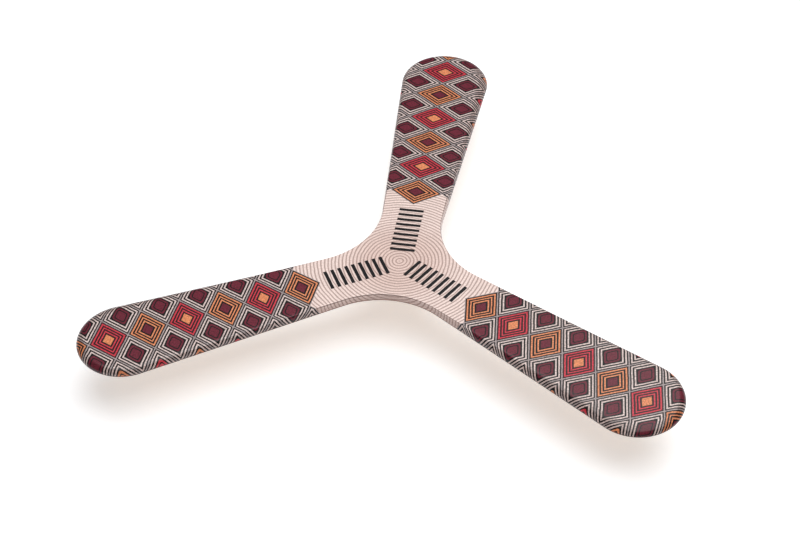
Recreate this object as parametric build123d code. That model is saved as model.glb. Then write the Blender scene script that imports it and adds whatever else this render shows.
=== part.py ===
from build123d import *

import os
from math import cos, pi, radians, sin, sqrt

# Three-blade boomerang, right-handed: seen from above it spins counter-clockwise.
# Millimetres, +Z up. The origin is the hub centre on the flat underside, and one blade lies on +Y.

# Blade planform
BLADES = 3
REACH = 160.2              # hub centre to blade tip, on the wood
HALF_WIDTH_AT_HUB = 12.8   # long edges carried back to the hub centre
TAPER = 0.0700             # half-width gained for each millimetre towards the tip
HUB_FILLET = 40.0          # hollow between two neighbouring blades
ROOT_STATION = 36.0        # where the root edge shape holds, from the hub centre
TIP_STATION = 134.0        # where the tip edge shape holds, from the hub centre

# Board
PLY_COUNT = 8
PLY_THICKNESS = 0.5
BOARD = PLY_COUNT * PLY_THICKNESS

# Printed film over the top face and the edges
FILM = 0.1
FILM_HEM = 0.35            # height of the film's lower border above the underside

# Edge shapes: how far the top of the board is set in from the widest outline
LEAD_ROOT_BEVEL = 0.8
LEAD_TIP_BEVEL = 3.0
TRAIL_ROOT_BEVEL = 0.8
TRAIL_TIP_BEVEL = 5.6
LEAD_NOSE = 1.5            # height of the widest point of the leading edge
TRAIL_NOSE = 0.9           # height of the widest point of the trailing edge
LEAD_STRAIGHT = 0.10       # share of the bevel that is a straight slope, the rest is an elliptic crown
TRAIL_STRAIGHT = 0.08
ARRIS = 0.50               # rounding under the widest point

# Sections of each ply through its thickness
PLY_SECTIONS = 3
FACE_PLY_SECTIONS = 6


def inset(height, bevel, nose, straight):
    """Distance of the edge from the widest outline at one height of the board."""
    if height <= nose:
        drop = (nose - height) / nose
        return ARRIS * (1.0 - sqrt(1.0 - drop * drop))
    rise = min((height - nose) / (BOARD - nose), 1.0)
    crown = 1.0 - sqrt(max(1.0 - rise * rise, 0.0))
    return bevel * (straight * rise + (1.0 - straight) * crown)


def half_width(station):
    """Half the widest width of a blade at a distance from the hub centre."""
    return HALF_WIDTH_AT_HUB + TAPER * station


def long_edge(side, root_inset, tip_inset):
    """One long edge of a blade as its outward normal and its distance from the hub centre.

    The blade's own axes are used: X from the hub to the tip, Y towards the leading side.
    side is +1 for the leading edge and -1 for the trailing edge.
    """
    root = Vector(ROOT_STATION, side * (half_width(ROOT_STATION) - root_inset))
    tip = Vector(TIP_STATION, side * (half_width(TIP_STATION) - tip_inset))
    along = (tip - root).normalized()
    normal = Vector(-side * along.Y, side * along.X)
    return normal, normal.dot(root)


def meet(normal_a, distance_a, normal_b, distance_b):
    """Point that lies at the two given distances along the two given normals."""
    det = normal_a.X * normal_b.Y - normal_a.Y * normal_b.X
    x = (distance_a * normal_b.Y - distance_b * normal_a.Y) / det
    y = (distance_b * normal_a.X - distance_a * normal_b.X) / det
    return Vector(x, y)


def tip_circle(lead, trail, reach):
    """Centre and radius of the tip arc that touches both long edges and ends at the reach."""
    along = Vector(1, 0)
    centre = meet(lead[0] - along, lead[1] - reach, trail[0] - along, trail[1] - reach)
    return centre, reach - centre.X


def turned(vector, angle):
    """A plan vector turned about the hub axis by an angle in radians."""
    return Vector(vector.X * cos(angle) - vector.Y * sin(angle),
                  vector.X * sin(angle) + vector.Y * cos(angle))


def outline(height, level, grow):
    """Closed outline of the boomerang at one height.

    level is the height in the board whose edge insets are used, and grow moves the outline outwards.
    """
    lead_root = inset(level, LEAD_ROOT_BEVEL, LEAD_NOSE, LEAD_STRAIGHT) - grow
    lead_tip = inset(level, LEAD_TIP_BEVEL, LEAD_NOSE, LEAD_STRAIGHT) - grow
    trail_root = inset(level, TRAIL_ROOT_BEVEL, TRAIL_NOSE, TRAIL_STRAIGHT) - grow
    trail_tip = inset(level, TRAIL_TIP_BEVEL, TRAIL_NOSE, TRAIL_STRAIGHT) - grow
    lead = long_edge(1, lead_root, lead_tip)
    trail = long_edge(-1, trail_root, trail_tip)
    centre, radius = tip_circle(lead, trail, REACH - (lead_tip + trail_tip) / 2.0)
    fillet = HUB_FILLET + (lead_root + trail_root) / 2.0
    pitch = 2.0 * pi / BLADES

    edges = []
    for blade in range(BLADES):
        angle = radians(90.0) + blade * pitch
        tip_start = turned(centre + trail[0] * radius, angle)
        tip_crest = turned(centre + Vector(radius, 0), angle)
        tip_end = turned(centre + lead[0] * radius, angle)
        tip_first = turned(centre + (trail[0] + Vector(1, 0)).normalized() * radius, angle)
        tip_last = turned(centre + (lead[0] + Vector(1, 0)).normalized() * radius, angle)

        before = turned(lead[0], angle - pitch)
        here = turned(trail[0], angle)
        hollow_before = meet(here, trail[1] + fillet, before, lead[1] + fillet)
        start = hollow_before - here * fillet

        ahead = turned(lead[0], angle)
        after = turned(trail[0], angle + pitch)
        hollow = meet(ahead, lead[1] + fillet, after, trail[1] + fillet)
        hollow_start = hollow - ahead * fillet
        hollow_middle = hollow - (ahead + after).normalized() * fillet
        hollow_end = hollow - after * fillet

        edges.append(Edge.make_line(start, tip_start))
        edges.append(Edge.make_three_point_arc(tip_start, tip_first, tip_crest))
        edges.append(Edge.make_three_point_arc(tip_crest, tip_last, tip_end))
        edges.append(Edge.make_line(tip_end, hollow_start))
        edges.append(Edge.make_three_point_arc(hollow_start, hollow_middle, hollow_end))
    return Wire(edges).moved(Location((0, 0, height)))


def ply_levels(index):
    """Heights of the sections of one ply, closer together near the top face of the board."""
    bottom = index * PLY_THICKNESS
    is_face = index >= PLY_COUNT - 2
    count = FACE_PLY_SECTIONS if is_face else PLY_SECTIONS
    steps = [step / (count - 1) for step in range(count)]
    if index == PLY_COUNT - 1:
        steps = [sin(step * pi / 2.0) for step in steps]
    return [bottom + PLY_THICKNESS * step for step in steps]


def ply(index):
    """One veneer of the board with its shaped edge."""
    return Solid.make_loft([outline(level, level, 0.0) for level in ply_levels(index)], True)


def printed_film():
    """Thin skin over the top face and down the edges, open underneath."""
    levels = [0.0]
    for index in range(PLY_COUNT):
        levels.extend(ply_levels(index)[1:])
    board = Solid.make_loft([outline(level, level, 0.0) for level in levels], True)
    covered = [FILM_HEM - FILM] + [level for level in levels if level > FILM_HEM]
    skin = Solid.make_loft([outline(level + FILM, level, FILM) for level in covered], True)
    return skin - board


os.makedirs("parts", exist_ok=True)
for number in range(PLY_COUNT):
    veneer = ply(number)
    veneer.label = f"ply_{number + 1}"
    export_step(veneer, f"parts/ply_{number + 1}.step")
    print(veneer.label, "volume", round(veneer.volume, 1), "valid", veneer.is_valid)

film = printed_film()
film.label = "printed_film"
export_step(film, "parts/printed_film.step")
print("printed_film volume", round(film.volume, 1), "valid", film.is_valid, "solids", len(film.solids()))
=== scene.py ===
import logging
import math
from dataclasses import dataclass, field
from enum import Enum

import bmesh
import bpy
import numpy as np
from mathutils import Matrix, Vector


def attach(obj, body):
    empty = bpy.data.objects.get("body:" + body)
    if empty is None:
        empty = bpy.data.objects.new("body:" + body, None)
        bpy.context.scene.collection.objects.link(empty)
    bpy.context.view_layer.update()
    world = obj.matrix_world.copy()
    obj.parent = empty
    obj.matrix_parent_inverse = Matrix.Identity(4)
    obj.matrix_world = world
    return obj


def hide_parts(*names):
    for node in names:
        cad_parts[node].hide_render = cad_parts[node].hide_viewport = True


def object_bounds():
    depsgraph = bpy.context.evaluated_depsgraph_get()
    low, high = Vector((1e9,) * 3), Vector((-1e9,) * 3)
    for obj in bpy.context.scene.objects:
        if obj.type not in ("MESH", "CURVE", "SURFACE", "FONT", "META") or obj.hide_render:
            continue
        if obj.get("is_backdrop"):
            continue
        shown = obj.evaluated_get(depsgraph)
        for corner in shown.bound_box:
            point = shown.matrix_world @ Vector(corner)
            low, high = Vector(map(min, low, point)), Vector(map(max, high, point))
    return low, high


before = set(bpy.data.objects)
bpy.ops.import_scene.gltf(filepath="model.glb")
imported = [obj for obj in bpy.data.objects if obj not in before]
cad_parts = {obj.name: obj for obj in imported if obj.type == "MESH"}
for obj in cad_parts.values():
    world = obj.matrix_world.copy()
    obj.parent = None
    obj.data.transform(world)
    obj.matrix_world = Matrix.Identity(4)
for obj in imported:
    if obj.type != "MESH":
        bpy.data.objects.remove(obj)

LOG = logging.getLogger("boomerang")
MM = 0.001
BLADES = 3
BLADE_PITCH = 2.0 * math.pi / BLADES

Array = np.ndarray
Socket = bpy.types.NodeSocket
Source = Socket | float | tuple


class Side(Enum):
    """The two long edges of a blade that spins counter-clockwise seen from above."""

    LEADING = 1
    TRAILING = -1


class Ink(Enum):
    """The printed colours, and the tints of painted shade on the edges, as linear red, green and blue."""

    BLACK = (0.007, 0.005, 0.005)
    MAROON = (0.032, 0.008, 0.011)
    BAR = (0.005, 0.004, 0.005)
    PLUM = (0.150, 0.017, 0.033)
    RED = (0.660, 0.052, 0.076)
    AMBER = (0.760, 0.262, 0.118)
    ORANGE = (0.800, 0.290, 0.138)
    CREAM = (0.735, 0.595, 0.560)
    GREY = (0.410, 0.342, 0.338)
    GROUND = (0.940, 0.762, 0.704)
    SHADE = (0.810, 0.605, 0.540)
    LINE = (0.330, 0.200, 0.170)
    # dark brown for painted shade down the wall and bevel, also used for the darker hem band
    WALL_SHADE = (0.300, 0.165, 0.130)
    # near black for the painted shade line at the rim's crest
    CREASE_SHADE = (0.140, 0.085, 0.075)

    @property
    def rgba(self) -> tuple[float, float, float, float]:
        """The ink with full alpha."""
        return (*self.value, 1.0)


# ------------------------------------------------------------------ shape


@dataclass(frozen=True)
class EdgeShape:
    """Cross-section of one long edge: a small arris, the widest point, then a crowned bevel."""

    root_bevel: float
    tip_bevel: float
    nose: float
    straight: float
    arris: float = 0.50 * MM

    def inset(self, level: Array, bevel: float, board: float) -> Array:
        """How far the edge stands in from the widest outline.

        Below the nose the inset is a quarter ellipse of the arris. Above it the inset is the bevel
        times a mix of a straight slope and a quarter ellipse of the rise.

        Args:
            level: heights in the board.
            bevel: full width of the bevel at this station.
            board: thickness of the board.

        Returns:
            One inset for each height.
        """
        drop = np.clip((self.nose - level) / self.nose, 0.0, 1.0)
        rise = np.clip((level - self.nose) / (board - self.nose), 0.0, 1.0)
        under = self.arris * (1.0 - np.sqrt(1.0 - drop**2))
        crown = 1.0 - np.sqrt(np.clip(1.0 - rise**2, 0.0, 1.0))
        return under + bevel * (self.straight * rise + (1.0 - self.straight) * crown)


@dataclass(frozen=True)
class Planform:
    """Outline of the boomerang at any height of the board, in one blade's own axes.

    X runs from the hub to the tip and Y towards the leading edge.
    """

    reach: float = 160.2 * MM
    half_width_at_hub: float = 12.8 * MM
    taper: float = 0.0700
    hub_fillet: float = 40.0 * MM
    root_station: float = 36.0 * MM
    tip_station: float = 134.0 * MM
    board: float = 4.0 * MM
    leading: EdgeShape = EdgeShape(0.8 * MM, 3.0 * MM, 1.5 * MM, 0.10)
    trailing: EdgeShape = EdgeShape(0.8 * MM, 5.6 * MM, 0.9 * MM, 0.08)
    hollow_rows: int = 16
    straight_rows: int = 44
    tip_rows: int = 30

    def shape(self, side: Side) -> EdgeShape:
        """The edge shape of one side."""
        return self.leading if side is Side.LEADING else self.trailing

    def long_edge(self, side: Side, level: Array, grow: Array) -> tuple[Array, Array]:
        """Outward normal and distance from the hub centre of one long edge, at each height.

        The edge is the straight line through its points at the root station and the tip station.
        """
        shape = self.shape(side)
        stations = (self.root_station, self.tip_station)
        bevels = (shape.root_bevel, shape.tip_bevel)
        ends = []
        for station, bevel in zip(stations, bevels):
            width = self.half_width_at_hub + self.taper * station
            width = width - shape.inset(level, bevel, self.board) + grow
            ends.append(np.stack([np.full_like(width, station), side.value * width], axis=-1))
        along = ends[1] - ends[0]
        along /= np.linalg.norm(along, axis=-1, keepdims=True)
        normal = np.stack([-side.value * along[:, 1], side.value * along[:, 0]], axis=-1)
        return normal, np.sum(normal * ends[0], axis=-1)

    def rows(self, side: Side, level: Array, grow: Array) -> tuple[Array, Array]:
        """Points and outward normals of one side's outline from the hub hollow to the tip crest.

        The outline is half of the hollow's arc, the straight edge, and half of the tip's arc. The
        tip arc touches both edges and ends at the reach, and the hollow arc touches this edge and
        the next blade's.

        Args:
            side: which long edge.
            level: heights in the board whose insets are used.
            grow: outward growth at each height.

        Returns:
            Points and normals, each of shape (heights, rows, 2).
        """
        normal, distance = self.long_edge(side, level, grow)
        other = Side.TRAILING if side is Side.LEADING else Side.LEADING
        far_normal, far_distance = self.long_edge(other, level, grow)
        tip_inset = sum(
            self.shape(s).inset(level, self.shape(s).tip_bevel, self.board) - grow for s in Side
        )
        root_inset = sum(
            self.shape(s).inset(level, self.shape(s).root_bevel, self.board) - grow for s in Side
        )
        reach = self.reach - tip_inset / 2.0
        fillet = self.hub_fillet + root_inset / 2.0

        axis = np.array([1.0, 0.0])
        centre = meet(normal - axis, distance - reach, far_normal - axis, far_distance - reach)
        radius = reach - centre[:, 0]

        neighbour = turned(far_normal, side.value * BLADE_PITCH)
        hollow = meet(normal, distance + fillet, neighbour, far_distance + fillet)
        middle = angle_of(normal + neighbour)
        heading = angle_of(normal)
        sweep = (heading - middle + math.pi) % (2.0 * math.pi) - math.pi

        share = np.linspace(0.0, 1.0, self.hollow_rows, endpoint=False)
        ray = unit(middle[:, None] + sweep[:, None] * share)
        hollow_points = hollow[:, None] - fillet[:, None, None] * ray

        start = hollow - fillet[:, None] * normal
        end = centre + radius[:, None] * normal
        share = np.linspace(0.0, 1.0, self.straight_rows, endpoint=False)[None, :, None]
        straight_points = start[:, None] + (end - start)[:, None] * share
        straight_normals = np.repeat(normal[:, None], self.straight_rows, axis=1)

        share = np.linspace(1.0, 0.0, self.tip_rows)
        tip_ray = unit(heading[:, None] * share)
        tip_points = centre[:, None] + radius[:, None, None] * tip_ray

        points = np.concatenate([hollow_points, straight_points, tip_points], axis=1)
        normals = np.concatenate([ray, straight_normals, tip_ray], axis=1)
        return points, normals


def meet(normal_a: Array, distance_a: Array, normal_b: Array, distance_b: Array) -> Array:
    """Points at the given distances along two normals, by Cramer's rule."""
    det = normal_a[:, 0] * normal_b[:, 1] - normal_a[:, 1] * normal_b[:, 0]
    x = (distance_a * normal_b[:, 1] - distance_b * normal_a[:, 1]) / det
    y = (distance_b * normal_a[:, 0] - distance_a * normal_b[:, 0]) / det
    return np.stack([x, y], axis=-1)


def turned(points: Array, angle: float) -> Array:
    """Plan vectors (..., 2) turned by an angle in radians."""
    c, s = math.cos(angle), math.sin(angle)
    x, y = points[..., 0], points[..., 1]
    return np.stack([x * c - y * s, x * s + y * c], axis=-1)


def unit(angle: Array) -> Array:
    """Unit plan vectors at the given angles."""
    return np.stack([np.cos(angle), np.sin(angle)], axis=-1)


def angle_of(vectors: Array) -> Array:
    """Angles of plan vectors (..., 2)."""
    return np.arctan2(vectors[..., 1], vectors[..., 0])


@dataclass
class Rings:
    """Outline rings stacked through the board, from the lowest to the highest, for one blade."""

    planform: Planform
    level: Array
    height: Array
    grow: Array
    cross_points: int = 9
    points: dict[Side, Array] = field(init=False)
    normals: dict[Side, Array] = field(init=False)
    foot: Array = field(init=False)

    def __post_init__(self) -> None:
        """Works out both sides' rings and the line down the blade's middle where they meet."""
        self.points, self.normals = {}, {}
        for side in Side:
            plan, normals = self.planform.rows(side, self.level, self.grow)
            heights = np.broadcast_to(self.height[:, None, None], (*plan.shape[:2], 1))
            self.points[side] = np.concatenate([plan, heights], axis=-1)
            self.normals[side] = normals
        self.foot = self.middle_line()

    def middle_line(self) -> Array:
        """Points on the blade's middle, one for each row, from the hub centre to the tip crest.

        Outside the hub each is halfway between the two rims, and inside it they run evenly from
        the hub centre to the first of those.
        """
        rim = (self.points[Side.LEADING][:, :, :2] + self.points[Side.TRAILING][:, :, :2]) / 2.0
        middle = rim.copy()
        first = self.planform.hollow_rows
        share = np.arange(first)[None, :, None] / first
        middle[:, :first] = middle[:, first : first + 1] * share
        return middle

    def wall(self, side: Side) -> tuple[Array, Array]:
        """One side's rings as columns (rows, rings, 3), with each point's unrolled place.

        The unrolled place is the rim's plan point carried outwards by the length of surface
        between the rim and the point, as a film wrapped over the edge would lie when flat.
        """
        points = self.points[side].transpose(1, 0, 2)
        step = np.linalg.norm(np.diff(points, axis=1), axis=-1)
        run = np.concatenate([np.cumsum(step[:, ::-1], axis=1)[:, ::-1], step[:, :1] * 0.0], axis=1)
        normal = self.normals[side][-1][:, None]
        flat = points[:, -1:, :2] + normal * run[..., None]
        return points, np.concatenate([flat, run[..., None]], axis=-1)

    def flat(self, ring: int) -> tuple[Array, Array]:
        """The flat between one ring's two sides as columns (rows, points, 3), ends left out."""
        share = np.linspace(0.0, 1.0, self.cross_points)[1:-1]
        share = np.concatenate([share, [1.0], share[::-1]])[None, :, None]
        rim_t = self.points[Side.TRAILING][ring][:, None, :2]
        rim_l = self.points[Side.LEADING][ring][:, None, :2]
        half = self.cross_points - 1
        rims = np.concatenate([np.repeat(rim_t, half, 1), np.repeat(rim_l, half - 1, 1)], axis=1)
        plan = rims + (self.foot[ring][:, None] - rims) * share
        height = np.full((*plan.shape[:2], 1), self.height[ring])
        return (
            np.concatenate([plan, height], axis=-1),
            np.concatenate([plan, height * 0.0], axis=-1),
        )


class Piece:
    """A mesh made of one blade's grid, repeated round the hub and welded."""

    def __init__(self, name: str) -> None:
        """Names the piece."""
        self.name = name

    def build(self, grid: Array, place: Array | None = None, closed: bool = False) -> bpy.types.Object:
        """Makes the object from a grid of points on one blade.

        Args:
            grid: points (rows, columns, 3) in the blade's axes, with rows towards the tip and
                columns such that row direction cross column direction points outwards.
            place: unrolled place of each point, kept as the attribute print_place.
            closed: joins the last column to the first.

        Returns:
            The linked object, at the origin.
        """
        rows, columns, _ = grid.shape
        index = np.arange(rows * columns).reshape(rows, columns)
        if closed:
            index = np.concatenate([index, index[:, :1]], axis=1)
        quads = np.stack([index[:-1, :-1], index[1:, :-1], index[1:, 1:], index[:-1, 1:]], axis=-1)
        quads = quads.reshape(-1, 4)
        points, places, faces = [], [], []
        for blade in range(BLADES):
            angle = math.pi / 2.0 + blade * BLADE_PITCH
            points.append(self.spun(grid, angle))
            faces.append(quads + blade * rows * columns)
            if place is not None:
                places.append(self.spun(place, angle))
        mesh = bpy.data.meshes.new(self.name)
        mesh.from_pydata(np.concatenate(points).tolist(), [], np.concatenate(faces).tolist())
        if place is not None:
            layer = mesh.attributes.new("print_place", "FLOAT_VECTOR", "POINT")
            layer.data.foreach_set("vector", np.concatenate(places).ravel())
        self.weld(mesh)
        item = bpy.data.objects.new(self.name, mesh)
        bpy.context.scene.collection.objects.link(item)
        return item

    @staticmethod
    def spun(grid: Array, angle: float) -> Array:
        """A grid turned about the hub axis, as a list of points (n, 3)."""
        return np.concatenate([turned(grid[..., :2], angle), grid[..., 2:]], axis=-1).reshape(-1, 3)

    @staticmethod
    def weld(mesh: bpy.types.Mesh) -> None:
        """Joins points that coincide at the seams and poles, and smooths all but sharp edges."""
        work = bmesh.new()
        work.from_mesh(mesh)
        bmesh.ops.remove_doubles(work, verts=work.verts, dist=0.001 * MM)
        work.to_mesh(mesh)
        work.free()
        mesh.shade_smooth()
        mesh.set_sharp_from_angle(angle=math.radians(38.0))
        mesh.update()


# ------------------------------------------------------------------ node tools


class Graph:
    """Adds nodes to one node tree and links them."""

    def __init__(self, tree: bpy.types.NodeTree) -> None:
        """Starts on a tree."""
        self.tree = tree

    def node(self, kind: str, **settings: object) -> bpy.types.Node:
        """A new node of a kind, with its properties set."""
        made = self.tree.nodes.new(kind)
        made.location = (180.0 * (len(self.tree.nodes) % 24), -220.0 * (len(self.tree.nodes) // 24))
        for key, value in settings.items():
            setattr(made, key, value)
        return made

    def feed(self, socket: Socket, source: Source) -> None:
        """Links a socket to another, or sets its own value."""
        if isinstance(source, bpy.types.NodeSocket):
            self.tree.links.new(source, socket)
        else:
            socket.default_value = source

    def math(self, operation: str, *values: Source) -> Socket:
        """A Math node of up to three values."""
        made = self.node("ShaderNodeMath", operation=operation)
        for socket, value in zip(made.inputs, values):
            self.feed(socket, value)
        return made.outputs[0]

    def plus(self, first: Source, *others: Source) -> Socket:
        """The sum of two or more values."""
        result = first
        for other in others:
            result = self.math("ADD", result, other)
        return result

    def minus(self, value: Source, less: Source) -> Socket:
        """One value less another."""
        return self.math("SUBTRACT", value, less)

    def times(self, value: Source, factor: Source) -> Socket:
        """One value times another."""
        return self.math("MULTIPLY", value, factor)

    def vector(self, operation: str, *values: Source) -> bpy.types.Node:
        """A Vector Math node."""
        made = self.node("ShaderNodeVectorMath", operation=operation)
        sockets = [s for s in made.inputs if s.type == "VECTOR"]
        for socket, value in zip(sockets, values):
            self.feed(socket, value)
        return made

    def scaled(self, vector: Source, factor: Source) -> Socket:
        """A vector times a number."""
        made = self.vector("SCALE", vector)
        self.feed(made.inputs["Scale"], factor)
        return made.outputs[0]

    def split(self, vector: Source) -> tuple[Socket, Socket, Socket]:
        """A vector's three numbers."""
        made = self.node("ShaderNodeSeparateXYZ")
        self.feed(made.inputs[0], vector)
        return made.outputs[0], made.outputs[1], made.outputs[2]

    def join(self, x: Source, y: Source, z: Source = 0.0) -> Socket:
        """Three numbers as a vector."""
        made = self.node("ShaderNodeCombineXYZ")
        for socket, value in zip(made.inputs, (x, y, z)):
            self.feed(socket, value)
        return made.outputs[0]

    def choose(self, factor: Source, low: Source, high: Source) -> Socket:
        """Between two numbers."""
        made = self.node("ShaderNodeMix", data_type="FLOAT")
        self.feed(made.inputs[0], factor)
        self.feed(made.inputs[2], low)
        self.feed(made.inputs[3], high)
        return made.outputs[0]

    def blend(self, factor: Source, low: Source, high: Source, mode: str = "MIX") -> Socket:
        """Between two colours."""
        made = self.node("ShaderNodeMix", data_type="RGBA", blend_type=mode)
        self.feed(made.inputs[0], factor)
        self.feed(made.inputs[6], low)
        self.feed(made.inputs[7], high)
        return made.outputs[2]

    def ramp(self, factor: Source, stops: list[tuple[float, tuple]]) -> Socket:
        """A colour ramp with the given stops."""
        made = self.node("ShaderNodeValToRGB")
        elements = made.color_ramp.elements
        elements[0].position, elements[0].color = stops[0]
        elements[1].position, elements[1].color = stops[-1]
        for position, colour in stops[1:-1]:
            elements.new(position).color = colour
        self.feed(made.inputs[0], factor)
        return made.outputs[0]

    def noise(self, vector: Source, scale: float, detail: float = 2.0, rough: float = 0.5) -> bpy.types.Node:
        """A noise texture."""
        made = self.node("ShaderNodeTexNoise", noise_dimensions="3D")
        self.feed(made.inputs["Vector"], vector)
        self.feed(made.inputs["Scale"], scale)
        self.feed(made.inputs["Detail"], detail)
        self.feed(made.inputs["Roughness"], rough)
        return made

    def ease(self, value: Source, low: Source, high: Source) -> Socket:
        """Smooth step from 0 at low to 1 at high."""
        made = self.node("ShaderNodeMapRange", interpolation_type="SMOOTHSTEP", clamp=True)
        self.feed(made.inputs["Value"], value)
        self.feed(made.inputs["From Min"], low)
        self.feed(made.inputs["From Max"], high)
        return made.outputs[0]

    def line(self, distance: Source, half: Source, soft: Source) -> Socket:
        """1 where the distance from a line is under its half width, with a soft border."""
        return self.minus(1.0, self.ease(distance, half, self.plus(half, soft)))


class Effect:
    """A shared node group, built once. Subclasses name the sockets and add the nodes."""

    name = ""
    takes: dict[str, tuple[str, object]] = {}
    gives: dict[str, str] = {}

    def tree(self) -> bpy.types.NodeTree:
        """The group, made the first time it is asked for."""
        known = bpy.data.node_groups.get(self.name)
        if known:
            return known
        tree = bpy.data.node_groups.new(self.name, "ShaderNodeTree")
        for label, (kind, default) in self.takes.items():
            socket = tree.interface.new_socket(label, in_out="INPUT", socket_type=kind)
            socket.default_value = default
        for label, kind in self.gives.items():
            tree.interface.new_socket(label, in_out="OUTPUT", socket_type=kind)
        graph = Graph(tree)
        entry = graph.node("NodeGroupInput")
        leave = graph.node("NodeGroupOutput")
        results = self.work(graph, {label: entry.outputs[label] for label in self.takes})
        for label, socket in results.items():
            graph.feed(leave.inputs[label], socket)
        return tree

    def work(self, graph: Graph, given: dict[str, Socket]) -> dict[str, Socket]:
        """Adds the group's nodes.

        Args:
            graph: the group's own graph.
            given: the input sockets by name.

        Returns:
            The sockets that feed the outputs, by name.
        """
        raise NotImplementedError

    def place(self, graph: Graph, **values: Source) -> dict[str, Socket]:
        """Puts the group into a graph with its own values and returns its outputs by name."""
        made = graph.node("ShaderNodeGroup", node_tree=self.tree())
        for label, value in values.items():
            graph.feed(made.inputs[label.replace("_", " ")], value)
        return {label: made.outputs[label] for label in self.gives}


FLOAT, VECTOR = "NodeSocketFloat", "NodeSocketVector"


class HandWobble(Effect):
    """Moves a pattern's place a little, so that drawn lines aren't ruler-straight."""

    name = "hand_wobble"
    takes = {
        "Place": (VECTOR, (0.0, 0.0, 0.0)),
        "Amount": (FLOAT, 0.0002),
        "Scale": (FLOAT, 160.0),
    }
    gives = {"Place": VECTOR}

    def work(self, graph: Graph, given: dict[str, Socket]) -> dict[str, Socket]:
        """Adds a centred noise colour, times the amount, to the place."""
        noise = graph.noise(given["Place"], 1.0, 1.0)
        graph.feed(noise.inputs["Scale"], given["Scale"])
        centred = graph.vector("SUBTRACT", noise.outputs["Color"], (0.5, 0.5, 0.5)).outputs[0]
        moved = graph.scaled(centred, given["Amount"])
        return {"Place": graph.vector("ADD", given["Place"], moved).outputs[0]}


class BladeFold(Effect):
    """Turns a plan place into millimetres along and across the nearest blade."""

    name = "blade_fold"
    takes = {"Place": (VECTOR, (0.0, 0.0, 0.0))}
    gives = {"Along": FLOAT, "Across": FLOAT}

    def work(self, graph: Graph, given: dict[str, Socket]) -> dict[str, Socket]:
        """Polar angle wrapped into one third of a turn about the +Y blade, then back to plan."""
        x, y, _ = graph.split(given["Place"])
        angle = graph.minus(graph.math("ARCTAN2", y, x), math.pi / 2.0)
        local = graph.math("WRAP", angle, BLADE_PITCH / 2.0, -BLADE_PITCH / 2.0)
        flat = graph.join(x, y)
        length = graph.times(graph.vector("LENGTH", flat).outputs["Value"], 1.0 / MM)
        return {
            "Along": graph.times(length, graph.math("COSINE", local)),
            "Across": graph.times(length, graph.math("SINE", local)),
        }


class DiamondLattice(Effect):
    """A lattice of diamonds along a blade: how deep a point lies in its diamond, and which it is."""

    name = "diamond_lattice"
    takes = {
        "Along": (FLOAT, 0.0),
        "Across": (FLOAT, 0.0),
        "First": (FLOAT, 49.8),
        "Half Length": (FLOAT, 9.458),
        "Half Width": (FLOAT, 13.0),
    }
    gives = {"Depth": FLOAT, "Round Depth": FLOAT, "Row": FLOAT, "Odd": FLOAT, "On Blade": FLOAT}

    def work(self, graph: Graph, given: dict[str, Socket]) -> dict[str, Socket]:
        """Depth is |along| / half length + |across| / half width, measured from the centre.

        In the axes s = (p + q) / 2 and t = (p - q) / 2 the diamonds are unit squares, so rounding
        gives the centre and twice the larger offset gives the depth. The round depth takes a
        sixth-power mean of the two offsets instead, which rounds the corners.
        """
        offset = graph.minus(given["Along"], given["First"])
        p = graph.math("DIVIDE", offset, given["Half Length"])
        q = graph.math("DIVIDE", given["Across"], given["Half Width"])
        s = graph.times(graph.plus(p, q), 0.5)
        t = graph.times(graph.minus(p, q), 0.5)
        s_cell, t_cell = graph.math("ROUND", s), graph.math("ROUND", t)
        s_off = graph.math("ABSOLUTE", graph.minus(s, s_cell))
        t_off = graph.math("ABSOLUTE", graph.minus(t, t_cell))
        depth = graph.times(graph.math("MAXIMUM", s_off, t_off), 2.0)
        powers = graph.plus(graph.math("POWER", s_off, 6.0), graph.math("POWER", t_off, 6.0))
        rounded = graph.times(graph.math("POWER", powers, 1.0 / 6.0), 2.0)
        row = graph.math("ABSOLUTE", graph.minus(s_cell, t_cell))
        column = graph.times(graph.plus(s_cell, t_cell), 0.5)
        odd = graph.math("FLOORED_MODULO", graph.plus(column, 0.25), 2.0)
        return {
            "Depth": depth,
            "Round Depth": rounded,
            "Row": row,
            "Odd": graph.math("GREATER_THAN", odd, 1.0),
            "On Blade": graph.math("GREATER_THAN", column, -0.25),
        }


def ringed(depths: tuple[float, ...], core: Ink, dark: Ink, inner: Ink, outer: Ink) -> tuple:
    """Pairs of outer depth and ink: core, one inner and two outer rings between dark ones, seam."""
    return tuple(zip((*depths, 1.0), (core, dark, inner, dark, outer, dark, outer, dark, Ink.GREY)))


RED_DEPTHS = (0.290, 0.405, 0.490, 0.600, 0.670, 0.780, 0.872, 0.962)
ORANGE_DEPTHS = (0.290, 0.398, 0.490, 0.595, 0.670, 0.780, 0.875, 0.962)
PLUM_DEPTHS = (0.305, 0.375, 0.490, 0.590, 0.680, 0.785, 0.875, 0.960)


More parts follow.
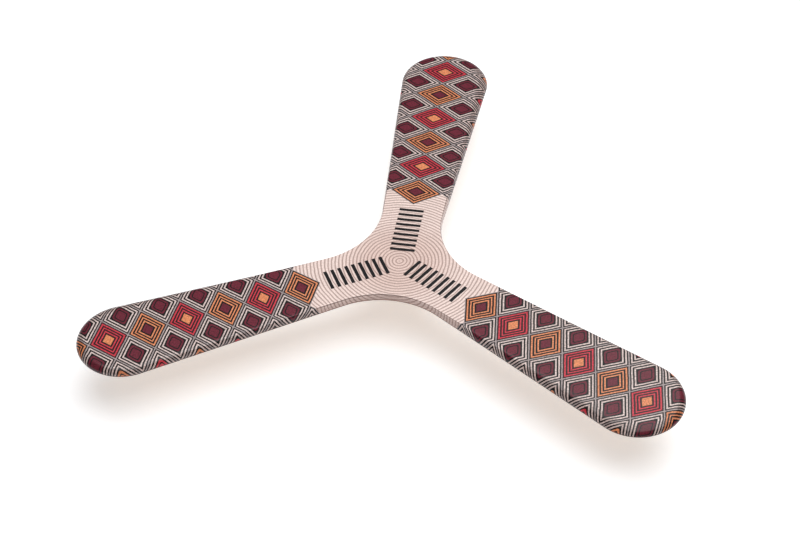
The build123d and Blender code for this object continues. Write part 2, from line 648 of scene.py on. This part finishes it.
class DiamondBands(Enum):
    """Ink bands of each kind of diamond, as (outer depth, ink) from the centre outwards."""

    RED = ringed(RED_DEPTHS, Ink.AMBER, Ink.MAROON, Ink.RED, Ink.RED)
    ORANGE = ringed(ORANGE_DEPTHS, Ink.PLUM, Ink.BLACK, Ink.ORANGE, Ink.ORANGE)
    PLUM = ringed(PLUM_DEPTHS, Ink.PLUM, Ink.BLACK, Ink.PLUM, Ink.CREAM)
    SIDE_RED = ringed(PLUM_DEPTHS, Ink.RED, Ink.BLACK, Ink.RED, Ink.CREAM)
    SIDE_ORANGE = ringed(PLUM_DEPTHS, Ink.ORANGE, Ink.BLACK, Ink.ORANGE, Ink.CREAM)

    def stops(self, soft: float = 0.010) -> list[tuple[float, tuple]]:
        """Ramp stops for the bands, each border softened by a little."""
        bands = self.value
        result = [(0.0, bands[0][1].rgba)]
        for (outer, ink), (_, following) in zip(bands[:-1], bands[1:]):
            result.append((outer - soft / 2.0, ink.rgba))
            result.append((outer + soft / 2.0, following.rgba))
        return [*result, (1.0, bands[-1][1].rgba)]


class BarRow(Effect):
    """A row of plain straight crossbars along a blade's middle."""

    name = "bar_row"
    takes = {"Along": (FLOAT, 0.0), "Across": (FLOAT, 0.0), "Soft": (FLOAT, 0.12)}
    gives = {"Mask": FLOAT}
    bars = 9
    first = 8.0
    pitch = 3.5
    half_length = 6.0
    half_width = 0.8

    def work(self, graph: Graph, given: dict[str, Socket]) -> dict[str, Socket]:
        """Equal bars stand square to the blade, the first at first, pitch apart, in millimetres."""
        turns = graph.math("DIVIDE", graph.minus(given["Along"], self.first), self.pitch)
        nearest = graph.math("MINIMUM", graph.math("ROUND", turns), self.bars - 1.0)
        nearest = graph.math("MAXIMUM", nearest, 0.0)
        away = graph.math("ABSOLUTE", graph.minus(turns, nearest))
        bar = graph.line(graph.times(away, self.pitch), self.half_width, given["Soft"])
        ends = graph.line(graph.math("ABSOLUTE", given["Across"]), self.half_length, given["Soft"])
        return {"Mask": graph.times(bar, ends)}


class RingHatching(Effect):
    """Fine, evenly spaced rings about the hub's centre, over a ground shaded in the middle."""

    name = "ring_hatching"
    takes = {"Along": (FLOAT, 0.0), "Across": (FLOAT, 0.0), "Spacing": (FLOAT, 1.72)}
    gives = {"Line": FLOAT, "Shade": FLOAT}
    core = (0.08, 0.18)
    flank = (0.42, 0.35)
    shaded = (12.0, 20.0, 0.80)

    def work(self, graph: Graph, given: dict[str, Socket]) -> dict[str, Socket]:
        """Each ring has a dark core and a soft flank, like a drawn stroke.

        The core is a half width and a softness in spacings, the flank a softness in spacings and
        a strength, and the shade a half width and a softness in millimetres and a strength.
        """
        arm = graph.join(given["Along"], given["Across"])
        distance = graph.vector("LENGTH", arm).outputs["Value"]
        near = graph.math("PINGPONG", graph.math("DIVIDE", distance, given["Spacing"]), 0.5)
        flank = graph.times(graph.line(near, 0.0, self.flank[0]), self.flank[1])
        half, soft, strength = self.shaded
        shade = graph.times(graph.line(distance, half, soft), strength)
        return {"Line": graph.math("MAXIMUM", graph.line(near, *self.core), flank), "Shade": shade}


class PrintGrain(Effect):
    """Fine unevenness of printed ink: a soft mottle and a fine speckle round 1."""

    name = "print_grain"
    takes = {
        "Place": (VECTOR, (0.0, 0.0, 0.0)),
        "Speckle": (FLOAT, 0.12),
        "Mottle": (FLOAT, 0.08),
    }
    gives = {"Tone": FLOAT}

    def work(self, graph: Graph, given: dict[str, Socket]) -> dict[str, Socket]:
        """1 + speckle (fine noise - 1/2) + mottle (broad noise - 1/2)."""
        fine = graph.noise(given["Place"], 1300.0, 2.0, 0.6).outputs[0]
        broad = graph.noise(given["Place"], 90.0, 2.0).outputs[0]
        fine = graph.times(graph.minus(fine, 0.5), given["Speckle"])
        broad = graph.times(graph.minus(broad, 0.5), given["Mottle"])
        return {"Tone": graph.plus(fine, broad, 1.0)}


class BirchGrain(Effect):
    """Birch veneer with the grain along Y: figure, fine fibres and short pores."""

    name = "birch_grain"
    takes = {"Place": (VECTOR, (0.0, 0.0, 0.0))}
    gives = {"Figure": FLOAT, "Fibre": FLOAT, "Pores": FLOAT}

    def work(self, graph: Graph, given: dict[str, Socket]) -> dict[str, Socket]:
        """Noises stretched along the grain; the figure is a band of a slowly bent noise."""
        slow = graph.vector("MULTIPLY", given["Place"], (1.0, 0.22, 1.0)).outputs[0]
        bend = graph.noise(slow, 26.0, 2.0).outputs[0]
        bands = graph.math("PINGPONG", graph.times(bend, 9.0), 0.5)
        figure = graph.ease(bands, 0.0, 0.5)
        drawn = graph.vector("MULTIPLY", given["Place"], (1.0, 0.035, 1.0)).outputs[0]
        fibre = graph.noise(drawn, 1500.0, 3.0, 0.65).outputs[0]
        dashes = graph.vector("MULTIPLY", given["Place"], (1.0, 0.09, 1.0)).outputs[0]
        pores = graph.noise(dashes, 900.0, 1.0).outputs[0]
        return {"Figure": figure, "Fibre": fibre, "Pores": graph.ease(pores, 0.66, 0.76)}


# ------------------------------------------------------------------ finishes


def new_material(name: str) -> tuple[bpy.types.Material, Graph, bpy.types.Node]:
    """An empty material with its graph and its one Principled shader."""
    material = bpy.data.materials.new(name)
    material.use_nodes = True
    material.node_tree.nodes.clear()
    graph = Graph(material.node_tree)
    shader = graph.node("ShaderNodeBsdfPrincipled")
    output = graph.node("ShaderNodeOutputMaterial")
    graph.feed(output.inputs["Surface"], shader.outputs[0])
    return material, graph, shader


@dataclass(frozen=True)
class PrintedSkinFinish:
    """Diamonds on the blades and plain bars over fine rings on the hub, under a clear coat.

    A wobble is an amount and a noise scale. The painted crease shade at the rim and the darker hem
    band are a half width, a softness and a strength. The painted shade down the wall and the bevel is
    where its tint starts and is full past the rim, and its strength. Speckle is the hub's, then what the
    blades add to it.
    """

    name: str = "printed_skin"
    print_shift: tuple[float, float, float] = (0.74 * MM, 0.14 * MM, 0.0)
    roughness: float = 0.30
    coat: float = 0.06
    coat_roughness: float = 0.14
    ior: float = 1.37
    blade_wobble: tuple[float, float] = (0.35 * MM, 190.0)
    hatch_wobble: tuple[float, float] = (0.90 * MM, 150.0)
    bar_wobble: tuple[float, float] = (0.25 * MM, 420.0)
    line_strength: float = 0.74
    mottle: float = 0.16
    speckle: tuple[float, float] = (0.80, 1.40)
    # painted shade: a dark line at the rim's crest and darkening down the wall and bevel; the hem band
    # darkens the bottom of the edge
    crease_shade_middle: float = 0.38 * MM
    crease_shade: tuple[float, float, float] = (0.18 * MM, 0.14 * MM, 0.80)
    wall: tuple[float, float, float] = (0.1 * MM, 0.6 * MM, 0.25)
    bevel: tuple[float, float, float] = (0.1 * MM, 2.4 * MM, 0.34)
    hem: tuple[float, float, float] = (0.90 * MM, 0.40 * MM, 0.85)

    def material(self) -> bpy.types.Material:
        """Builds the material.

        Returns:
            A material that reads the surface's print_place attribute.
        """
        material, graph, shader = new_material(self.name)
        place = graph.node("ShaderNodeAttribute", attribute_name="print_place").outputs["Vector"]
        shifted = graph.vector("ADD", place, self.print_shift).outputs[0]
        lattice, on_blade = self.blade_inks(graph, self.folded(graph, shifted, self.blade_wobble))
        hub = self.hub_inks(graph, shifted)
        colour = graph.blend(on_blade, hub, lattice)
        # painted shade down the bevel and a darker band at the hem
        colour = self.bevel_shade_and_hem_band(graph, colour, place)
        speckle = graph.math("MULTIPLY_ADD", on_blade, self.speckle[1], self.speckle[0])
        tone = PrintGrain().place(graph, Place=place, Speckle=speckle, Mottle=self.mottle)["Tone"]
        colour = graph.blend(1.0, colour, graph.join(tone, tone, tone), "MULTIPLY")
        graph.feed(shader.inputs["Base Color"], colour)
        self.gloss(graph, shader, place)
        return material

    def folded(self, graph: Graph, place: Socket, wobble: tuple[float, float]) -> dict[str, Socket]:
        """A place wobbled by (amount, scale), then folded onto one blade."""
        drawn = HandWobble().place(graph, Place=place, Amount=wobble[0], Scale=wobble[1])["Place"]
        return BladeFold().place(graph, Place=drawn)

    def blade_inks(self, graph: Graph, fold: dict[str, Socket]) -> tuple[Socket, Socket]:
        """The diamonds' colour and the mask of the printed blade.

        The side diamonds have rounded rings inside the middle of their third band.
        """
        cell = DiamondLattice().place(graph, Along=fold["Along"], Across=fold["Across"])
        core = 0.530
        inner = graph.math("MINIMUM", cell["Round Depth"], core)
        deep = graph.math("LESS_THAN", cell["Depth"], core)
        depth = graph.choose(deep, cell["Depth"], inner)
        centre = graph.blend(
            cell["Odd"],
            graph.ramp(cell["Depth"], DiamondBands.ORANGE.stops()),
            graph.ramp(cell["Depth"], DiamondBands.RED.stops()),
        )
        side = graph.blend(
            cell["Odd"],
            graph.ramp(depth, DiamondBands.SIDE_RED.stops()),
            graph.ramp(depth, DiamondBands.SIDE_ORANGE.stops()),
        )
        plum = graph.ramp(depth, DiamondBands.PLUM.stops())
        colour = graph.blend(graph.math("GREATER_THAN", cell["Row"], 0.5), centre, plum)
        colour = graph.blend(graph.math("GREATER_THAN", cell["Row"], 1.5), colour, side)
        return colour, cell["On Blade"]

    def hub_inks(self, graph: Graph, shifted: Socket) -> Socket:
        """The hub's colour: ground, rings and bars, with painted shade at the rim's crest and down the wall.
        """
        fold = self.folded(graph, shifted, self.hatch_wobble)
        hatch = RingHatching().place(graph, Along=fold["Along"], Across=fold["Across"])
        ground = graph.blend(hatch["Shade"], Ink.GROUND.rgba, Ink.SHADE.rgba)
        colour = graph.blend(graph.times(hatch["Line"], self.line_strength), ground, Ink.LINE.rgba)
        fold = self.folded(graph, shifted, self.bar_wobble)
        bars = BarRow().place(graph, Along=fold["Along"], Across=fold["Across"])
        colour = graph.blend(bars["Mask"], colour, Ink.BAR.rgba)
        # painted shade at the rim's crest and down the wall
        return self.painted_crease_and_wall_shade(graph, colour, shifted)

    def painted_crease_and_wall_shade(self, graph: Graph, colour: Socket, shifted: Socket) -> Socket:
        """Paints shade on the hub's print: a dark line along the crest of the rim and, less, shade down the
        wall.

        The third number of print_place is the length of film past the rim, so the painted crease shade is a
        band about its small values and the painted wall shade is all that lies beyond.
        """
        past = graph.split(shifted)[2]
        # painted shade: a dark line along the crest of the rim
        half, soft, strength = self.crease_shade
        crease_shade = graph.math("ABSOLUTE", graph.minus(past, self.crease_shade_middle))
        crease_shade = graph.times(graph.line(crease_shade, half, soft), strength)
        # painted shade down the wall past the rim
        start, end, strength = self.wall
        wall = graph.times(graph.ease(past, start, end), strength)
        colour = graph.blend(wall, colour, Ink.WALL_SHADE.rgba)
        return graph.blend(crease_shade, colour, Ink.CREASE_SHADE.rgba)

    def bevel_shade_and_hem_band(self, graph: Graph, colour: Socket, place: Socket) -> Socket:
        """Paints shade down the bevel, browning and darkening the print, and darkens a narrow band at the
        hem more.
        """
        past = graph.split(place)[2]
        # painted shade down the bevel, growing past the rim
        start, end, strength = self.bevel
        drawn = graph.times(graph.ease(past, start, end), strength)
        colour = graph.blend(drawn, colour, Ink.WALL_SHADE.rgba, "MULTIPLY")
        height = graph.split(graph.node("ShaderNodeTexCoord").outputs["Object"])[2]
        # a darker band at the bottom of the edge
        half, soft, strength = self.hem
        low = graph.times(graph.line(height, half, soft), strength)
        return graph.blend(low, colour, Ink.WALL_SHADE.rgba, "MULTIPLY")

    def gloss(self, graph: Graph, shader: bpy.types.Node, place: Socket) -> None:
        """Sets the clear coat, a slightly uneven gloss and a fine orange-peel bump."""
        cloud = graph.noise(place, 60.0, 3.0).outputs[0]
        rough = graph.math("MULTIPLY_ADD", cloud, 0.12, self.roughness - 0.06)
        graph.feed(shader.inputs["Roughness"], rough)
        shader.inputs["IOR"].default_value = self.ior
        shader.inputs["Coat Weight"].default_value = self.coat
        shader.inputs["Coat Roughness"].default_value = self.coat_roughness
        shader.inputs["Coat IOR"].default_value = 1.5
        peel = graph.noise(place, 700.0, 2.0).outputs[0]
        grain = graph.vector("MULTIPLY", place, (1.0, 0.04, 1.0)).outputs[0]
        grain = graph.noise(grain, 900.0, 2.0).outputs[0]
        height = graph.math("MULTIPLY_ADD", grain, 0.35, peel)
        bump = graph.node("ShaderNodeBump")
        bump.inputs["Strength"].default_value = 0.35
        bump.inputs["Distance"].default_value = 0.012 * MM
        graph.feed(bump.inputs["Height"], height)
        graph.feed(shader.inputs["Normal"], bump.outputs[0])


@dataclass(frozen=True)
class BirchFinish:
    """Birch veneer with its grain along a plan direction, bare or lacquered."""

    name: str
    turn: float = 0.0
    pale: tuple[float, float, float] = (0.640, 0.430, 0.240)
    deep: tuple[float, float, float] = (0.480, 0.290, 0.140)
    pore: tuple[float, float, float] = (0.260, 0.140, 0.065)
    roughness: float = 0.42
    coat: float = 0.0

    def material(self) -> bpy.types.Material:
        """Builds the material on object coordinates, turned so that Y runs along the grain."""
        material, graph, shader = new_material(self.name)
        coordinates = graph.node("ShaderNodeTexCoord").outputs["Object"]
        mapping = graph.node("ShaderNodeMapping", vector_type="POINT")
        mapping.inputs["Rotation"].default_value = (0.0, 0.0, self.turn)
        graph.feed(mapping.inputs["Vector"], coordinates)
        wood = BirchGrain().place(graph, Place=mapping.outputs[0])
        shade = graph.math("MULTIPLY_ADD", wood["Figure"], 0.45, graph.times(wood["Fibre"], 0.7))
        colour = graph.blend(graph.ease(shade, 0.25, 1.0), (*self.pale, 1.0), (*self.deep, 1.0))
        colour = graph.blend(graph.times(wood["Pores"], 0.55), colour, (*self.pore, 1.0))
        graph.feed(shader.inputs["Base Color"], colour)
        rough = graph.math("MULTIPLY_ADD", wood["Fibre"], 0.16, self.roughness - 0.08)
        graph.feed(shader.inputs["Roughness"], rough)
        shader.inputs["Coat Weight"].default_value = self.coat
        shader.inputs["Coat Roughness"].default_value = 0.2
        bump = graph.node("ShaderNodeBump")
        bump.inputs["Strength"].default_value = 0.4
        bump.inputs["Distance"].default_value = 0.02 * MM
        height = graph.minus(wood["Fibre"], wood["Pores"])
        graph.feed(bump.inputs["Height"], height)
        graph.feed(shader.inputs["Normal"], bump.outputs[0])
        return material


# ------------------------------------------------------------------ pieces


@dataclass
class PrintedSkin:
    """The printed film: the top face and the edges down to its hem."""

    planform: Planform
    node: str = "printed_film"
    film: float = 0.1 * MM
    hem: float = 0.35 * MM
    tuck: float = 0.03 * MM
    ring_count: int = 26

    def build(self) -> bpy.types.Object:
        """Makes the film as one welded surface with a small lip under its hem.

        The rings' heights follow a quarter sine, so they crowd towards the crown of the bevel.
        """
        share = np.linspace(0.0, 1.0, self.ring_count)
        low = self.hem - self.film
        level = low + (self.planform.board - low) * np.sin(share * math.pi / 2.0)
        level = np.concatenate([[low], level])
        grow = np.full_like(level, self.film)
        grow[0] = -self.tuck
        rings = Rings(self.planform, level, level + self.film, grow)
        trail, trail_place = rings.wall(Side.TRAILING)
        lead, lead_place = rings.wall(Side.LEADING)
        flat, flat_place = rings.flat(-1)
        grid = np.concatenate([trail, flat, lead[:, ::-1]], axis=1)
        place = np.concatenate([trail_place, flat_place, lead_place[:, ::-1]], axis=1)
        skin = Piece("printed_skin").build(grid, place)
        skin.data.materials.append(PrintedSkinFinish().material())
        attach(skin, "root")
        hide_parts(self.node)
        LOG.info("printed_skin: %d faces", len(skin.data.polygons))
        return skin


@dataclass
class FaceVeneer:
    """The underside veneer with its sanded arris, closed all round."""

    planform: Planform
    node: str = "ply_1"
    thickness: float = 0.5 * MM
    ring_count: int = 7

    def build(self) -> bpy.types.Object:
        """Makes the veneer: the rim's rings, the flat above them and the flat below them."""
        level = np.linspace(0.0, 1.0, self.ring_count) ** 1.5 * self.thickness
        rings = Rings(self.planform, level, level, np.zeros_like(level))
        trail, _ = rings.wall(Side.TRAILING)
        lead, _ = rings.wall(Side.LEADING)
        top, _ = rings.flat(-1)
        under, _ = rings.flat(0)
        grid = np.concatenate([trail, top, lead[:, ::-1], under[:, ::-1]], axis=1)
        veneer = Piece("face_veneer").build(grid, closed=True)
        finish = BirchFinish("lacquered_birch", turn=math.radians(3.0), roughness=0.34, coat=0.35)
        veneer.data.materials.append(finish.material())
        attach(veneer, "root")
        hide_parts(self.node)
        LOG.info("face_veneer: %d faces", len(veneer.data.polygons))
        return veneer


@dataclass
class InnerVeneers:
    """The seven veneers inside the film, their grain crossed from one to the next."""

    first: int = 2
    last: int = 8

    def dress(self) -> None:
        """Gives each veneer its wood, across on even numbers and lengthways on odd ones."""
        across = BirchFinish("birch_across", turn=math.radians(93.0)).material()
        lengthways = BirchFinish("birch_lengthways", turn=math.radians(3.0)).material()
        for number in range(self.first, self.last + 1):
            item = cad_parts[f"ply_{number}"]
            wood = across if number % 2 == 0 else lengthways
            for slot in item.material_slots:
                slot.material = wood
            LOG.info("ply_%d: %s", number, wood.name)


# ------------------------------------------------------------------ stage


@dataclass
class Studio:
    """Pale floor, soft overhead light and the camera."""

    floor_drop: float = 27.0 * MM
    floor_size: float = 9.0
    azimuth: float = 10.52
    elevation: float = 44.59
    roll: float = -1.296
    distance: float = 1.0027
    aim: tuple[float, float] = (-0.59 * MM, -3.86 * MM)
    lens: float = 93.99
    surround: float = 0.20
    floor_glow: float = 0.40
    softbox_position: tuple[float, float, float] = (0.17, 0.08, 1.14)
    softbox_size: tuple[float, float] = (1.50, 1.30)
    softbox_power: float = 15.6

    def build(self) -> None:
        """Makes the floor, the lights and the camera."""
        self.floor()
        self.world()
        self.softbox()
        self.camera()

    def floor(self) -> None:
        """A wide pale sheet with a faint cool glow of its own, seen only from above."""
        half = self.floor_size / 2.0
        corners = [(-half, -half), (half, -half), (half, half), (-half, half)]
        mesh = bpy.data.meshes.new("floor")
        mesh.from_pydata([(x, y, -self.floor_drop) for x, y in corners], [], [(0, 1, 2, 3)])
        item = bpy.data.objects.new("floor", mesh)
        bpy.context.scene.collection.objects.link(item)
        material, graph, shader = new_material("pale_sheet")
        shader.inputs["Base Color"].default_value = (0.90, 0.90, 0.90, 1.0)
        shader.inputs["Roughness"].default_value = 0.9
        shader.inputs["Specular IOR Level"].default_value = 0.1
        shader.inputs["Emission Color"].default_value = (0.955, 1.0, 1.06, 1.0)
        shader.inputs["Emission Strength"].default_value = self.floor_glow
        clear = graph.node("ShaderNodeBsdfTransparent")
        either = graph.node("ShaderNodeMixShader")
        graph.feed(either.inputs[0], graph.node("ShaderNodeNewGeometry").outputs["Backfacing"])
        graph.feed(either.inputs[1], shader.outputs[0])
        graph.feed(either.inputs[2], clear.outputs[0])
        output = next(n for n in material.node_tree.nodes if n.type == "OUTPUT_MATERIAL")
        graph.feed(output.inputs["Surface"], either.outputs[0])
        mesh.materials.append(material)
        item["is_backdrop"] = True

    def world(self) -> None:
        """An even, dim white surround."""
        world = bpy.data.worlds.new("surround")
        world.use_nodes = True
        background = world.node_tree.nodes["Background"]
        background.inputs["Color"].default_value = (1.0, 1.0, 1.0, 1.0)
        background.inputs["Strength"].default_value = self.surround
        bpy.context.scene.world = world
        bpy.context.scene.view_settings.view_transform = "Standard"

    def softbox(self) -> None:
        """A rectangular light facing the object, placed in the camera's own plan axes."""
        data = bpy.data.lights.new("softbox_overhead", "AREA")
        data.shape = "RECTANGLE"
        data.size, data.size_y = self.softbox_size
        data.energy = self.softbox_power
        item = bpy.data.objects.new("softbox_overhead", data)
        turn = Matrix.Rotation(math.radians(self.azimuth), 4, "Z")
        where = turn @ Vector(self.softbox_position)
        item.matrix_world = Matrix.Translation(where) @ where.to_track_quat("Z", "Y").to_matrix().to_4x4()
        bpy.context.scene.collection.objects.link(item)
        item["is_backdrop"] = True

    def camera(self) -> None:
        """A long lens that looks down at the top face, turned a little about its own axis."""
        turn, lift, roll = (math.radians(a) for a in (self.azimuth, self.elevation, self.roll))
        right = Vector((math.cos(turn), math.sin(turn), 0.0))
        away = Vector((-math.sin(turn), math.cos(turn), 0.0))
        back = -away * math.cos(lift) + Vector((0.0, 0.0, math.sin(lift)))
        up = back.cross(right)
        x_axis = right * math.cos(roll) + up * math.sin(roll)
        y_axis = up * math.cos(roll) - right * math.sin(roll)
        top = Vector((0.0, 0.0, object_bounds()[1][2]))
        place = right * self.aim[0] + away * self.aim[1] + top + back * self.distance
        data = bpy.data.cameras.new("camera")
        data.lens = self.lens
        data.sensor_width = 36.0
        item = bpy.data.objects.new("camera", data)
        item.matrix_world = Matrix((
            (x_axis.x, y_axis.x, back.x, place.x),
            (x_axis.y, y_axis.y, back.y, place.y),
            (x_axis.z, y_axis.z, back.z, place.z),
            (0.0, 0.0, 0.0, 1.0),
        ))
        bpy.context.scene.collection.objects.link(item)
        bpy.context.scene.camera = item


def main() -> None:
    """Builds the boomerang and its stage."""
    logging.basicConfig(level=logging.INFO, format="%(name)s %(message)s")
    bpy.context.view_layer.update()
    Studio().build()
    planform = Planform()
    PrintedSkin(planform).build()
    FaceVeneer(planform).build()
    InnerVeneers().dress()


if __name__ == "__main__":
    main()
